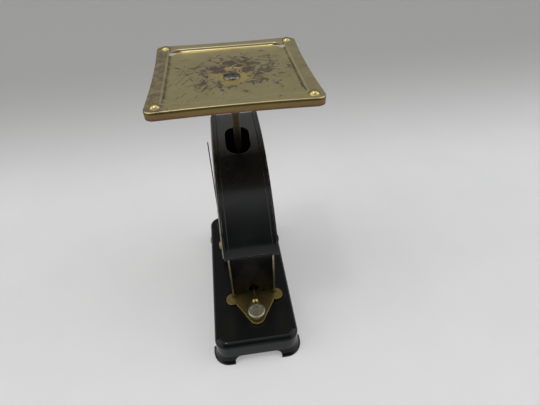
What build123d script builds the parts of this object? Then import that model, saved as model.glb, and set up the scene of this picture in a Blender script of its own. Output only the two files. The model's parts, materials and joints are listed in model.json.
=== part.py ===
from build123d import *
import os
from math import cos, radians, sin, tan

# Driving dimensions, in millimetres. Depths run back from the base's front edge,
# heights run up from the base's top, and X is measured from the tray's centre.
BASE_WIDTH = 60.0
BASE_LENGTH = 136.0
BASE_HEIGHT = 21.5
BASE_CORNER = 9.0
BASE_EDGE = 4.0
BASE_WALL = 1.2
BASE_SHIFT = -2.0
FOOT_SPAN = 13.0
FOOT_FLARE = 2.3
FOOT_RISE = 7.0
FOOT_LIP = 1.4
FOOT_BEND = 3.2
FOOT_BEND_FLARE = 0.9
ARCH_CORNER = 5.0

TRAY_WIDTH = 96.5
TRAY_DEPTH = 100.0
TRAY_SETBACK = 90.0
TRAY_LIFT = 160.0
TRAY_WAIST = 1.6
TRAY_CORNER = 5.5
TRAY_SKIRT = 4.8
TRAY_WALL = 0.9
TRAY_BORDER = 9.5
TRAY_SUNK = 2.4
TRAY_EDGE = 0.8
SLIT_INNER = 9.0
SLIT_OUTER = 6.0
PIP_INSET = 6.5
PIP_RADIUS = 3.0
PIP_HEIGHT = 1.9
DIMPLE_RADIUS = 13.5
DIMPLE_DEPTH = 0.4

STEM_SETBACK = 82.5
STEM_RADIUS = 2.4
STEM_HEAD_RADIUS = 3.2
STEM_TAPER = 34.0
STEM_FOOT = 5.0
STEM_BORE_DEPTH = 9.0
BOSS_RADIUS = 8.5
BOSS_HEIGHT = 2.4
BOSS_ROUND = 0.4
TRAY_SCREW_RADIUS = 2.0
TRAY_SCREW_HEAD = 5.2
TRAY_SCREW_RISE = 2.0
TRAY_SCREW_ROUND = 0.75
TRAY_SLOT_FLOOR = 0.45

ARM_LENGTH = 16.0
SWEEP = 56.0
PIVOT_HEIGHT = 26.0
LINK_SPACING = 44.0
SPRING_ARM = 11.0
ARBOR_RADIUS = 2.0
ARBOR_TIP = 0.6
ARBOR_SHORT = 0.2
ARBOR_CHAMFER = 0.4
LINK_PIN_RADIUS = 1.5
STEM_PIN_RADIUS = 1.25
STEM_PIN_HALF = 7.0
SPRING_PIN_RADIUS = 1.2
RUNNING = 0.05
LEVER_GAP = 4.2
LEVER_PLATE = 1.5
LEVER_HUB = 5.5
LEVER_EYE = 3.6
LINK_SLEEVE = 3.0
SPRING_EYE = 2.8
COLLAR_RADIUS = 3.6
COLLAR_WIDTH = 2.0
COLLAR_PLAY = 0.3

FAN_DEPTH = 103.0
FAN_HEIGHT = 8.0
FAN_RADIUS = 102.0
NOSE_RADIUS = 16.0
NOSE_ANGLE = 138.0
LIP_ANGLE = 188.0
TOP_RUN = 23.0
REAR_RADIUS = 12.0
REAR_TILT = 14.0
FAN_FOOT = 6.0
BAND_WALL = 0.8
LIP_BEAD = 0.9
RIM = 0.9
SIDE_WALL = 1.0
DIAL_WALL = 0.8
DIAL_INSET = 1.3
CHEEK_HALF = 16.4
CHEEK_WALL = 1.2
CHEEK_INSET = 2.6
LEG_FRONT = 39.0
LEG_REAR = 112.0
LEG_HEIGHT = 60.0
FLANGE_WIDTH = 8.0
FLANGE_FRONT = 58.0
FLANGE_REAR = 104.0
WEB_DEPTH = 42.0
WEB_WALL = 1.2
WEB_TOP = 61.0
WEB_HOLE = 4.2
SLOT_WIDTH = 17.0
SLOT_LENGTH = 31.0
SLOT_SETBACK = 92.5
BUSH_RADIUS = 3.5
BUSH_FLANGE = 5.0
BUSH_FLANGE_WALL = 1.0
SPACER_RADIUS = 2.6
SPACER_TENON = 1.6
SPACERS = [(52.0, 50.0), (62.0, 86.0), (111.0, 48.0)]

CASE_SCREWS = [(31.0, 69.5), (74.0, 41.0), (111.0, 90.0), (112.5, 20.0)]
CASE_SCREW_RADIUS = 1.25
CASE_SCREW_HEAD = 2.4
CASE_SCREW_RISE = 1.3
CASE_SCREW_ROUND = 0.7
CASE_SCREW_REACH = 3.0
SCREW_SLOT = 0.6

POINTER_GAP = 2.5
POINTER_WALL = 0.7
POINTER_LENGTH = 80.0
POINTER_TAIL = 15.0
POINTER_ROOT = 5.0
POINTER_TIP = 0.9
POINTER_HUB = 4.0
POINTER_NUT = 2.6
POINTER_NUT_HEIGHT = 1.6
STOP_REACH = 12.0
STOP_RADIUS = 0.8
STOP_CLEARANCE = 0.3

PLATE_LIFT = 1.0
PLATE_WALL = 1.2
PLATE_REAR = 43.5
EAR_DEPTH = 37.5
EAR_OFFSET = 16.6
EAR_RADIUS = 5.0
SHOULDER_OFFSET = 12.0
SHOULDER_DEPTH = 33.5
SHOULDER_RADIUS = 2.5
NOSE_DEPTH = 19.0
PLATE_NOSE = 5.5
TAB_LENGTH = 2.0
TAB_CLEARANCE = 0.4
NOTCH_LENGTH = 8.0
NOTCH_HEIGHT = 3.6
THUMB_DEPTH = 21.5
THUMB_RADIUS = 6.1
THUMB_HEIGHT = 3.2
THUMB_SHOULDER = 3.2
THUMB_SHOULDER_HEIGHT = 1.8
THUMB_SHANK = 2.0
THUMB_REACH = 10.0
THUMB_RECESS = 0.5
THUMB_ROUND = 0.25
THUMB_DISH = 0.72
THUMB_NUT_RADIUS = 5.0
THUMB_NUT_HEIGHT = 4.0
STUD_DEPTH = 30.5
STUD_NECK = 1.3
STUD_NECK_HEIGHT = 2.2
STUD_HEAD = 2.4
WASHER_RADIUS = 3.4
WASHER_WALL = 0.5

WIRE = 0.45
TAIL_BEND = 1.2
TAIL_JOINT = 1.05
COIL_RADIUS = 2.9
COIL_PITCH = 1.9
COIL_TURNS = 16
EYE_RADIUS = 2.2

FOOT_SCREW_DEPTHS = (64.0, 98.0)
FOOT_SCREW_OFFSET = 11.0
FOOT_SCREW_RADIUS = 1.5
FOOT_SCREW_HEAD = 2.8
FOOT_SCREW_RISE = 1.6
FOOT_NUT_RADIUS = 3.0
FOOT_NUT_HEIGHT = 2.4


def tray_outline(inset=0.0):
    """Tray plan: four sides drawn in a little at the middle, with rounded corners."""
    w, d = TRAY_WIDTH / 2 - inset, TRAY_DEPTH / 2 - inset
    corners = [(-w, -d), (w, -d), (w, d), (-w, d)]
    waists = [(0, TRAY_WAIST - d), (w - TRAY_WAIST, 0), (0, d - TRAY_WAIST), (TRAY_WAIST - w, 0)]
    sides = [ThreePointArc(corners[i], waists[i], corners[(i + 1) % 4]) for i in range(4)]
    face = make_face(sides)
    return fillet(face.vertices(), TRAY_CORNER - inset)


# Places worked out from the driving dimensions.
# Y is 0 midway between the front feet and the tray's back edge.
TRAY_REACH = tray_outline().bounding_box().max.Y
FRONT_Y = -(TRAY_SETBACK + TRAY_REACH - FOOT_FLARE) / 2
HALF_SWEEP = SWEEP / 2
ARM_Y = ARM_LENGTH * cos(radians(HALF_SWEEP))
ARM_Z = ARM_LENGTH * sin(radians(HALF_SWEEP))
DIAL_FACE = CHEEK_HALF + SIDE_WALL + DIAL_WALL
LEVER_OUT = LEVER_GAP + LEVER_PLATE
CHEEK_IN = CHEEK_HALF - CHEEK_WALL
PLATE_TOP = PLATE_LIFT + PLATE_WALL


def depth(v):
    """Y of a place v behind the base's front edge."""
    return FRONT_Y + v


def height(v):
    """Z of a place v above the base's top."""
    return BASE_HEIGHT + v


def side(v, h):
    """A point of the side view, from its depth and its height."""
    return (depth(v), height(h))


PIVOT = side(STEM_SETBACK + ARM_Y, PIVOT_HEIGHT)
LINK_PIVOT = (PIVOT[0], PIVOT[1] + LINK_SPACING)
STEM_PIN = (PIVOT[0] - ARM_Y, PIVOT[1] + ARM_Z)
LINK_PIN = (STEM_PIN[0], STEM_PIN[1] + LINK_SPACING)
SPRING_PIN = (
    PIVOT[0] - SPRING_ARM * sin(radians(HALF_SWEEP)),
    PIVOT[1] - SPRING_ARM * cos(radians(HALF_SWEEP)),
)
SPRING_ANCHOR = side(STUD_DEPTH, PLATE_TOP + WASHER_WALL + STUD_NECK_HEIGHT / 2)
FAN_CENTRE = side(FAN_DEPTH, FAN_HEIGHT)
REAR_CENTRE = (FAN_CENTRE[0] + TOP_RUN, FAN_CENTRE[1] + FAN_RADIUS - REAR_RADIUS)
NOSE_CENTRE = (
    FAN_CENTRE[0] + (FAN_RADIUS - NOSE_RADIUS) * cos(radians(NOSE_ANGLE)),
    FAN_CENTRE[1] + (FAN_RADIUS - NOSE_RADIUS) * sin(radians(NOSE_ANGLE)),
)


def across(face, x0, x1):
    """Extrude a side-view face from x0 to x1."""
    return extrude(Plane.YZ.offset(x0) * face, x1 - x0)


def rod(point, radius, x0, x1):
    """A round bar along X through a point of the side view."""
    return across(Pos(*point) * Circle(radius), x0, x1)


def post(x, y, z, radius, length):
    """A round bar standing on z."""
    return Pos(x, y, z) * Cylinder(radius, length, align=(Align.CENTER, Align.CENTER, Align.MIN))


def slab(x0, x1, y0, y1, z0, z1):
    """A block between two corners."""
    return Pos(x0, y0, z0) * Box(x1 - x0, y1 - y0, z1 - z0, align=(Align.MIN, Align.MIN, Align.MIN))


def both(piece):
    """A piece and its mirror image on the other side of the middle."""
    return piece + mirror(piece, Plane.YZ)


def fan_path(grow):
    """The casing's outline from its front lip, over the flat top and down the slanted back."""
    fan = CenterArc(FAN_CENTRE, FAN_RADIUS + grow, NOSE_ANGLE, 90 - NOSE_ANGLE)
    rear = CenterArc(REAR_CENTRE, REAR_RADIUS + grow, 90, -90 - REAR_TILT)
    heel = rear @ 1
    foot = height(FAN_FOOT)
    return [
        CenterArc(NOSE_CENTRE, NOSE_RADIUS + grow, LIP_ANGLE, NOSE_ANGLE - LIP_ANGLE),
        fan,
        Line(fan @ 1, rear @ 0),
        rear,
        Line((heel.X, heel.Y), (heel.X - (heel.Y - foot) * tan(radians(REAR_TILT)), foot)),
    ]


def fan_face(grow):
    """The casing's side view, closed by a straight lower edge."""
    path = fan_path(grow)
    return make_face(path + [Line(path[-1] @ 1, path[0] @ 0)])


def make_base():
    """Pressed base: a shell with four flared corner feet and an arch between each two."""
    middle = Pos(BASE_SHIFT, depth(BASE_LENGTH / 2))
    plan = middle * RectangleRounded(BASE_WIDTH, BASE_LENGTH, BASE_CORNER)
    inner_plan = offset(plan, -BASE_WALL)
    outer = extrude(plan, BASE_HEIGHT)
    outer = fillet(outer.edges().group_by(Axis.Z)[-1], BASE_EDGE)
    inner = extrude(inner_plan, BASE_HEIGHT - BASE_WALL)
    inner = fillet(inner.edges().group_by(Axis.Z)[-1], BASE_EDGE - BASE_WALL)
    arch_long = RectangleRounded(BASE_LENGTH - 2 * FOOT_SPAN, 2 * FOOT_RISE, ARCH_CORNER)
    arch_wide = RectangleRounded(BASE_WIDTH - 2 * FOOT_SPAN, 2 * FOOT_RISE, ARCH_CORNER)
    reach = BASE_LENGTH
    side_cut = across(Pos(depth(BASE_LENGTH / 2), 0) * arch_long, -reach, reach)
    behind = (BASE_SHIFT, depth(BASE_LENGTH / 2) + reach, 0)
    end_plane = Plane(origin=behind, x_dir=(1, 0, 0), z_dir=(0, -1, 0))
    end_cut = extrude(end_plane * arch_wide, 2 * reach)
    lip_plan = offset(plan, FOOT_FLARE)
    foot_ring = extrude(lip_plan, FOOT_LIP)
    bend_plan = Pos(0, 0, FOOT_BEND) * offset(plan, FOOT_BEND_FLARE)
    low_flare = loft([Pos(0, 0, FOOT_LIP) * lip_plan, bend_plan])
    high_flare = loft([bend_plan, Pos(0, 0, FOOT_RISE) * plan])
    feet = foot_ring + low_flare + high_flare
    shell = outer + feet - inner - side_cut - end_cut
    for v in FOOT_SCREW_DEPTHS:
        for sign in (-1, 1):
            x = sign * FOOT_SCREW_OFFSET
            shell -= post(x, depth(v), 0, FOOT_SCREW_RADIUS + RUNNING, 2 * BASE_HEIGHT)
    return shell - post(0, depth(THUMB_DEPTH), 0, THUMB_SHANK + RUNNING, 2 * BASE_HEIGHT)


def make_cheek(sign):
    """Upright frame cheek with its foot flange and the tab that locates the zero plate."""
    leg = make_face(
        Polyline(
            side(LEG_FRONT, 0),
            side(LEG_REAR, 0),
            side(LEG_REAR, LEG_HEIGHT),
            side(LEG_FRONT, LEG_HEIGHT),
            close=True,
        )
    )
    face = fan_face(-CHEEK_INSET) + leg
    x0, x1 = sorted((sign * CHEEK_IN, sign * CHEEK_HALF))
    cheek = across(face, x0, x1)
    foot = sorted((sign * CHEEK_IN, sign * (CHEEK_IN - FLANGE_WIDTH)))
    flange = slab(*foot, depth(FLANGE_FRONT), depth(FLANGE_REAR), height(0), height(CHEEK_WALL))
    cheek = cheek + flange
    for v in FOOT_SCREW_DEPTHS:
        x = sign * FOOT_SCREW_OFFSET
        cheek -= post(x, depth(v), height(-1), FOOT_SCREW_RADIUS + RUNNING, BASE_HEIGHT)
    notch_front = depth(LEG_FRONT + TAB_LENGTH)
    notch_rear = notch_front + NOTCH_LENGTH
    notch = slab(x0 - 1, x1 + 1, notch_front, notch_rear, height(-1), height(NOTCH_HEIGHT))
    cheek -= notch
    cheek -= rod(PIVOT, BUSH_RADIUS, x0 - 1, x1 + 1)
    cheek -= rod(LINK_PIVOT, LINK_PIN_RADIUS, x0 - 1, x1 + 1)
    for place in SPACERS:
        cheek -= rod(side(*place), SPACER_TENON, x0 - 1, x1 + 1)
    for place in CASE_SCREWS:
        cheek -= rod(side(*place), CASE_SCREW_RADIUS, x0 - 1, x1 + 1)
    return cheek


def make_web():
    """Front plate between the cheeks, open below where the spring's wire passes."""
    front = depth(WEB_DEPTH)
    web = slab(-CHEEK_IN, CHEEK_IN, front, front + WEB_WALL, height(NOTCH_HEIGHT), height(WEB_TOP))
    share = (WEB_DEPTH - STUD_DEPTH) / (SPRING_PIN[0] - SPRING_ANCHOR[0])
    wire_z = SPRING_ANCHOR[1] + share * (SPRING_PIN[1] - SPRING_ANCHOR[1])
    hole_plane = Plane.XZ.offset(-front - 2 * WEB_WALL)
    hole = extrude(hole_plane * Pos(0, wire_z) * Circle(WEB_HOLE), 4 * WEB_WALL)
    return web - hole


def make_spacers():
    """Three shouldered rods that hold the cheeks apart."""
    group = []
    for place in SPACERS:
        point = side(*place)
        tenons = rod(point, SPACER_TENON, -CHEEK_HALF, CHEEK_HALF)
        group.append(rod(point, SPACER_RADIUS, -CHEEK_IN, CHEEK_IN) + tenons)
    return Compound(children=group)


def make_band():
    """Curved casing strip with a beaded front lip and the stem's slot."""
    outer = fan_path(0)
    inner = fan_path(-BAND_WALL)
    ends = [Line(outer[0] @ 0, inner[0] @ 0), Line(outer[-1] @ 1, inner[-1] @ 1)]
    band = across(make_face(outer + inner + ends), -CHEEK_HALF, CHEEK_HALF)
    lip = (Line(outer[0] @ 0, inner[0] @ 0)) @ 0.5
    band += rod((lip.X, lip.Y), LIP_BEAD, -CHEEK_HALF, CHEEK_HALF)
    slot = SlotOverall(SLOT_LENGTH, SLOT_WIDTH, rotation=90)
    cutter = extrude(Pos(0, depth(SLOT_SETBACK), height(LEG_HEIGHT)) * slot, FAN_RADIUS)
    return band - cutter


def make_side_plate(sign):
    """Flat casing side with a rim that stands proud of the curved strip."""
    x0, x1 = sorted((sign * CHEEK_HALF, sign * (CHEEK_HALF + SIDE_WALL)))
    plate = across(fan_face(RIM), x0, x1)
    for place in CASE_SCREWS:
        plate -= rod(side(*place), CASE_SCREW_RADIUS + RUNNING, x0 - 1, x1 + 1)
    if sign < 0:
        plate -= rod(PIVOT, BUSH_RADIUS, x0 - 1, x1 + 1)
    return plate


def make_dial():
    """Pale dial card on the left side plate."""
    card = across(fan_face(-DIAL_INSET), -DIAL_FACE, -DIAL_FACE + DIAL_WALL)
    for place in CASE_SCREWS:
        card -= rod(side(*place), CASE_SCREW_RADIUS + RUNNING, -DIAL_FACE - 1, 0)
    card -= rod(PIVOT, BUSH_RADIUS, -DIAL_FACE - 1, 0)
    for point in stop_points():
        card -= rod(point, STOP_RADIUS, -DIAL_FACE - 1, 0)
    return card


def make_case_screws(sign):
    """Four slotted round-head screws through one casing side into the cheek."""
    seat = DIAL_FACE if sign < 0 else CHEEK_HALF + SIDE_WALL
    group = []
    for place in CASE_SCREWS:
        point = side(*place)
        tip = CHEEK_IN - CASE_SCREW_REACH
        shank = rod(point, CASE_SCREW_RADIUS, *sorted((sign * seat, sign * tip)))
        head = rod(point, CASE_SCREW_HEAD, *sorted((sign * seat, sign * (seat + CASE_SCREW_RISE))))
        head = fillet(head.edges().sort_by(Axis.X)[-1 if sign > 0 else 0], CASE_SCREW_RISE * CASE_SCREW_ROUND)
        slot = slab(
            *sorted((sign * (seat + CASE_SCREW_RISE / 2), sign * (seat + 2 * CASE_SCREW_RISE))),
            point[0] - CASE_SCREW_HEAD,
            point[0] + CASE_SCREW_HEAD,
            point[1] - SCREW_SLOT / 2,
            point[1] + SCREW_SLOT / 2,
        )
        group.append(shank + head - slot)
    return Compound(children=group)


def make_bush(sign):
    """Flanged arbor bush pressed into a cheek; the left one runs out through the dial."""
    reach = DIAL_FACE if sign < 0 else CHEEK_HALF
    body = rod(PIVOT, BUSH_RADIUS, *sorted((sign * CHEEK_IN, sign * reach)))
    body += rod(PIVOT, BUSH_FLANGE, *sorted((sign * CHEEK_IN, sign * (CHEEK_IN - BUSH_FLANGE_WALL))))
    return body - rod(PIVOT, ARBOR_RADIUS + RUNNING, -2 * DIAL_FACE, 2 * DIAL_FACE)


def lever_face(pivot, hub, eyes):
    """Flat lever: straight arms from a round hub to round eyes."""
    face = Pos(*pivot) * Circle(hub)
    for point, radius in eyes:
        face += make_hull((Pos(*pivot) * Circle(hub)).edges() + (Pos(*point) * Circle(radius)).edges())
    return face


def make_lever():
    """Bell-crank lever: two plates on one hub, one arm to the stem, one to the spring."""
    face = lever_face(PIVOT, LEVER_HUB, [(STEM_PIN, LEVER_EYE), (SPRING_PIN, SPRING_EYE)])
    lever = both(across(face, LEVER_GAP, LEVER_OUT)) + rod(PIVOT, LEVER_HUB - 1, -LEVER_GAP, LEVER_GAP)
    lever -= rod(PIVOT, ARBOR_RADIUS, -CHEEK_IN, CHEEK_IN)
    lever -= rod(STEM_PIN, STEM_PIN_RADIUS + RUNNING, -CHEEK_IN, CHEEK_IN)
    return lever - rod(SPRING_PIN, SPRING_PIN_RADIUS, -CHEEK_IN, CHEEK_IN)


def make_link():
    """Guide link: two plates on one sleeve, parallel to the lever's stem arm."""
    face = lever_face(LINK_PIVOT, LEVER_EYE, [(LINK_PIN, LEVER_EYE)])
    link = both(across(face, LEVER_GAP, LEVER_OUT))
    link += rod(LINK_PIVOT, LINK_SLEEVE, -LEVER_GAP, LEVER_GAP)
    link -= rod(LINK_PIVOT, LINK_PIN_RADIUS + RUNNING, -CHEEK_IN, CHEEK_IN)
    return link - rod(LINK_PIN, STEM_PIN_RADIUS + RUNNING, -CHEEK_IN, CHEEK_IN)


def make_collars(point, bore, inner):
    """Two plain collars on a shaft, one each side of the lever that they locate."""
    ring = rod(point, COLLAR_RADIUS, inner, inner + COLLAR_WIDTH) - rod(point, bore, 0, CHEEK_IN)
    return Compound(children=[ring, mirror(ring, Plane.YZ)])


def pointer_x():
    """X of the pointer's inner face, left of the dial."""
    return -DIAL_FACE - POINTER_GAP


def stop_points():
    """Side-view places of the two pins that the pointer rests against."""
    half = POINTER_TIP / 2 + (POINTER_ROOT - POINTER_TIP) / 2 * (1 - STOP_REACH / POINTER_LENGTH)
    aside = half + STOP_RADIUS + STOP_CLEARANCE
    points = []
    for turn, sign in ((0.0, 1), (SWEEP, -1)):
        a = radians(turn)
        along = (-sin(a) * STOP_REACH, cos(a) * STOP_REACH)
        sideways = (cos(a) * aside * sign, sin(a) * aside * sign)
        points.append((PIVOT[0] + along[0] + sideways[0], PIVOT[1] + along[1] + sideways[1]))
    return points


def make_stops():
    """Zero and full-load stop pins in the dial card."""
    reach = pointer_x() - 2 * POINTER_WALL
    seat = -DIAL_FACE + DIAL_WALL
    return Compound(children=[rod(point, STOP_RADIUS, reach, seat) for point in stop_points()])


def make_pointer():
    """Tapered pointer, upright at zero, with a round-ended tail."""
    y, z = PIVOT
    blade = make_face(
        Polyline(
            (y - POINTER_ROOT / 2, z),
            (y + POINTER_ROOT / 2, z),
            (y + POINTER_TIP / 2, z + POINTER_LENGTH),
            (y - POINTER_TIP / 2, z + POINTER_LENGTH),
            close=True,
        )
    )
    tail = make_hull(
        (Pos(y, z) * Circle(POINTER_ROOT / 2)).edges()
        + (Pos(y, z - POINTER_TAIL) * Circle(POINTER_HUB)).edges()
    )
    face = blade + tail + Pos(y, z) * Circle(POINTER_HUB)
    pointer = across(face, pointer_x() - POINTER_WALL, pointer_x())
    return pointer - rod(PIVOT, ARBOR_RADIUS, 2 * pointer_x(), 0)


def make_pointer_hub():
    """Collet between the dial's bush and the pointer."""
    hub = rod(PIVOT, POINTER_HUB, pointer_x(), pointer_x() + POINTER_GAP / 2)
    return hub - rod(PIVOT, ARBOR_RADIUS, 2 * pointer_x(), 0)


def make_pointer_nut():
    """Hexagon nut that clamps the pointer on the arbor."""
    outer = pointer_x() - POINTER_WALL
    face = Pos(*PIVOT) * RegularPolygon(POINTER_NUT + 1, 6)
    nut = across(face, outer - POINTER_NUT_HEIGHT, outer)
    return nut - rod(PIVOT, ARBOR_RADIUS, 2 * outer, 0)


def make_arbor():
    """Lever arbor, from the right bush out to the pointer's nut."""
    end = pointer_x() - POINTER_WALL - POINTER_NUT_HEIGHT - ARBOR_TIP
    arbor = rod(PIVOT, ARBOR_RADIUS, end, CHEEK_HALF - ARBOR_SHORT)
    return chamfer(arbor.edges().sort_by(Axis.X)[0], ARBOR_CHAMFER)


def clipped(w, d, cut):
    """A rectangle w by d with its corners cut off."""
    return chamfer(Rectangle(w, d).vertices(), cut)


def make_tray():
    """Pressed brass tray: skirt, border, sunk floor, corner slits and pips, screw dimple."""
    plan = tray_outline()
    sunk_w = TRAY_WIDTH - 2 * TRAY_BORDER
    sunk_d = TRAY_DEPTH - 2 * TRAY_BORDER
    floor_z = TRAY_SKIRT - TRAY_SUNK - TRAY_WALL
    tray = extrude(plan, TRAY_SKIRT)
    tray = fillet(tray.edges().group_by(Axis.Z)[-1], TRAY_EDGE)
    tray -= extrude(tray_outline(TRAY_WALL), TRAY_SKIRT - TRAY_WALL)
    well = clipped(sunk_w, sunk_d, SLIT_OUTER)
    tray += extrude(Pos(0, 0, floor_z) * well, TRAY_SKIRT - TRAY_WALL / 2 - floor_z)
    inside = clipped(sunk_w - 2 * TRAY_WALL, sunk_d - 2 * TRAY_WALL, SLIT_INNER - TRAY_WALL)
    tray -= extrude(Pos(0, 0, floor_z + TRAY_WALL) * inside, TRAY_SKIRT)
    tray -= extrude(well - clipped(sunk_w, sunk_d, SLIT_INNER), TRAY_SKIRT)
    ball = (PIP_RADIUS**2 + PIP_HEIGHT**2) / (2 * PIP_HEIGHT)
    cap = Pos(0, 0, PIP_HEIGHT - ball) * Sphere(ball)
    cap = cap & slab(-ball, ball, -ball, ball, -TRAY_WALL / 2, ball)
    for sx in (-1, 1):
        for sy in (-1, 1):
            x = sx * (TRAY_WIDTH / 2 - PIP_INSET)
            y = sy * (TRAY_DEPTH / 2 - PIP_INSET)
            tray += Pos(x, y, TRAY_SKIRT) * cap
    stem_y = STEM_SETBACK - TRAY_SETBACK
    tray -= post(0, stem_y, floor_z + TRAY_WALL - DIMPLE_DEPTH, DIMPLE_RADIUS, TRAY_SKIRT)
    tray -= post(0, stem_y, 0, TRAY_SCREW_RADIUS + RUNNING, TRAY_SKIRT)
    return Pos(0, depth(TRAY_SETBACK), height(TRAY_LIFT) - TRAY_SKIRT) * tray


def floor_under():
    """Height of the underside of the tray's sunk floor."""
    return height(TRAY_LIFT - TRAY_SUNK - TRAY_WALL)


def make_boss():
    """Seat washer between the stem's head and the tray."""
    y = depth(STEM_SETBACK)
    boss = post(0, y, floor_under() - BOSS_HEIGHT, BOSS_RADIUS, BOSS_HEIGHT)
    boss = fillet(boss.edges().group_by(Axis.Z)[0], BOSS_HEIGHT * BOSS_ROUND)
    return boss - post(0, y, floor_under() - BOSS_HEIGHT, TRAY_SCREW_RADIUS + RUNNING, BOSS_HEIGHT)


def make_stem():
    """Tapered stem with two cross holes for the pins of the lever and the link."""
    y = depth(STEM_SETBACK)
    top = floor_under() - BOSS_HEIGHT
    foot = STEM_PIN[1] - STEM_FOOT
    stem = post(0, y, foot, STEM_RADIUS, top - STEM_TAPER - foot)
    taper = Cone(STEM_RADIUS, STEM_HEAD_RADIUS, STEM_TAPER, align=(Align.CENTER, Align.CENTER, Align.MIN))
    stem += Pos(0, y, top - STEM_TAPER) * taper
    stem -= post(0, y, top - STEM_BORE_DEPTH, TRAY_SCREW_RADIUS, STEM_BORE_DEPTH)
    for point in (STEM_PIN, LINK_PIN):
        stem -= rod(point, STEM_PIN_RADIUS, -CHEEK_IN, CHEEK_IN)
    return stem


def make_tray_screw():
    """Round-head screw from the tray's floor down into the stem."""
    y = depth(STEM_SETBACK)
    seat = floor_under() + TRAY_WALL - DIMPLE_DEPTH
    head = post(0, y, seat, TRAY_SCREW_HEAD, TRAY_SCREW_RISE)
    head = fillet(head.edges().group_by(Axis.Z)[-1], TRAY_SCREW_RISE * TRAY_SCREW_ROUND)
    slot = slab(
        -TRAY_SCREW_HEAD,
        TRAY_SCREW_HEAD,
        y - SCREW_SLOT,
        y + SCREW_SLOT,
        seat + TRAY_SCREW_RISE * TRAY_SLOT_FLOOR,
        seat + 2 * TRAY_SCREW_RISE,
    )
    tip = floor_under() - BOSS_HEIGHT - STEM_BORE_DEPTH
    return head - slot + post(0, y, tip, TRAY_SCREW_RADIUS, seat - tip)


def make_zero_plate():
    """Three-cornered brass plate that rocks on a pip under each ear."""
    corner = [Pos(0, depth(NOSE_DEPTH)) * Circle(PLATE_NOSE)]
    for sign in (-1, 1):
        for v in (SHOULDER_DEPTH, PLATE_REAR - SHOULDER_RADIUS):
            corner.append(Pos(sign * SHOULDER_OFFSET, depth(v)) * Circle(SHOULDER_RADIUS))
    rounds = ShapeList()
    for piece in corner:
        rounds += piece.edges()
    face = make_hull(rounds)
    for sign in (-1, 1):
        face += Pos(sign * EAR_OFFSET, depth(EAR_DEPTH)) * Circle(EAR_RADIUS)
    plate = extrude(Pos(0, 0, height(PLATE_LIFT)) * face, PLATE_WALL)
    for sign in (-1, 1):
        cut_x = sorted((sign * (CHEEK_IN - TAB_CLEARANCE), sign * (CHEEK_HALF + TAB_CLEARANCE)))
        cut_y = (depth(LEG_FRONT - TAB_CLEARANCE), depth(LEG_FRONT + TAB_LENGTH + TAB_CLEARANCE))
        plate -= slab(*cut_x, *cut_y, height(0), height(NOTCH_HEIGHT))
        pip = Pos(sign * (EAR_OFFSET + EAR_RADIUS / 2), depth(EAR_DEPTH), height(PLATE_LIFT))
        plate += pip * Sphere(PLATE_LIFT - RUNNING)
    plate -= post(0, depth(STUD_DEPTH), height(0), STUD_NECK, BASE_HEIGHT)
    return plate - post(0, depth(THUMB_DEPTH), height(0), THUMB_SHANK + TAB_CLEARANCE, BASE_HEIGHT)


def make_stud():
    """Round-headed spring anchor on the zero plate."""
    y = depth(STUD_DEPTH)
    foot = height(PLATE_LIFT)
    neck = PLATE_WALL + WASHER_WALL + STUD_NECK_HEIGHT
    return post(0, y, foot, STUD_NECK, neck) + Pos(0, y, foot + neck + STUD_HEAD / 2) * Sphere(STUD_HEAD)


def make_washer():
    """Dark washer under the spring anchor."""
    y = depth(STUD_DEPTH)
    ring = post(0, y, height(PLATE_TOP), WASHER_RADIUS, WASHER_WALL)
    return ring - post(0, y, height(PLATE_TOP), STUD_NECK, WASHER_WALL)


def make_thumbscrew():
    """Zero-setting thumbscrew with a dished head."""
    y = depth(THUMB_DEPTH)
    seat = height(PLATE_TOP + RUNNING + THUMB_SHOULDER_HEIGHT)
    head = post(0, y, seat, THUMB_RADIUS, THUMB_HEIGHT)
    head = fillet(head.edges().group_by(Axis.Z)[-1], THUMB_HEIGHT * THUMB_ROUND)
    head -= post(0, y, seat + THUMB_HEIGHT - THUMB_RECESS, THUMB_RADIUS * THUMB_DISH, THUMB_RECESS)
    head += post(0, y, seat - THUMB_SHOULDER_HEIGHT, THUMB_SHOULDER, THUMB_SHOULDER_HEIGHT)
    return head + post(0, y, seat - THUMB_REACH, THUMB_SHANK, THUMB_REACH)


def make_thumb_nut():
    """Threaded seat under the base for the thumbscrew."""
    y = depth(THUMB_DEPTH)
    top = BASE_HEIGHT - BASE_WALL
    nut = post(0, y, top - THUMB_NUT_HEIGHT, THUMB_NUT_RADIUS, THUMB_NUT_HEIGHT)
    return nut - post(0, y, 0, THUMB_SHANK + RUNNING, BASE_HEIGHT)


def make_foot_screws():
    """Four cheese-head screws through the cheek flanges and the base."""
    group = []
    for v in FOOT_SCREW_DEPTHS:
        for sign in (-1, 1):
            x = sign * FOOT_SCREW_OFFSET
            tip = BASE_HEIGHT - BASE_WALL - FOOT_NUT_HEIGHT - 1
            shank = post(x, depth(v), tip, FOOT_SCREW_RADIUS, height(CHEEK_WALL) - tip)
            head = post(x, depth(v), height(CHEEK_WALL), FOOT_SCREW_HEAD, FOOT_SCREW_RISE)
            group.append(shank + head)
    return Compound(children=group)


def make_foot_nuts():
    """Four hexagon nuts under the base."""
    group = []
    top = BASE_HEIGHT - BASE_WALL
    for v in FOOT_SCREW_DEPTHS:
        for sign in (-1, 1):
            place = Pos(sign * FOOT_SCREW_OFFSET, depth(v), top - FOOT_NUT_HEIGHT)
            nut = extrude(place * RegularPolygon(FOOT_NUT_RADIUS, 6), FOOT_NUT_HEIGHT)
            x = sign * FOOT_SCREW_OFFSET
            group.append(nut - post(x, depth(v), 0, FOOT_SCREW_RADIUS, BASE_HEIGHT))
    return Compound(children=group)


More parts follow.
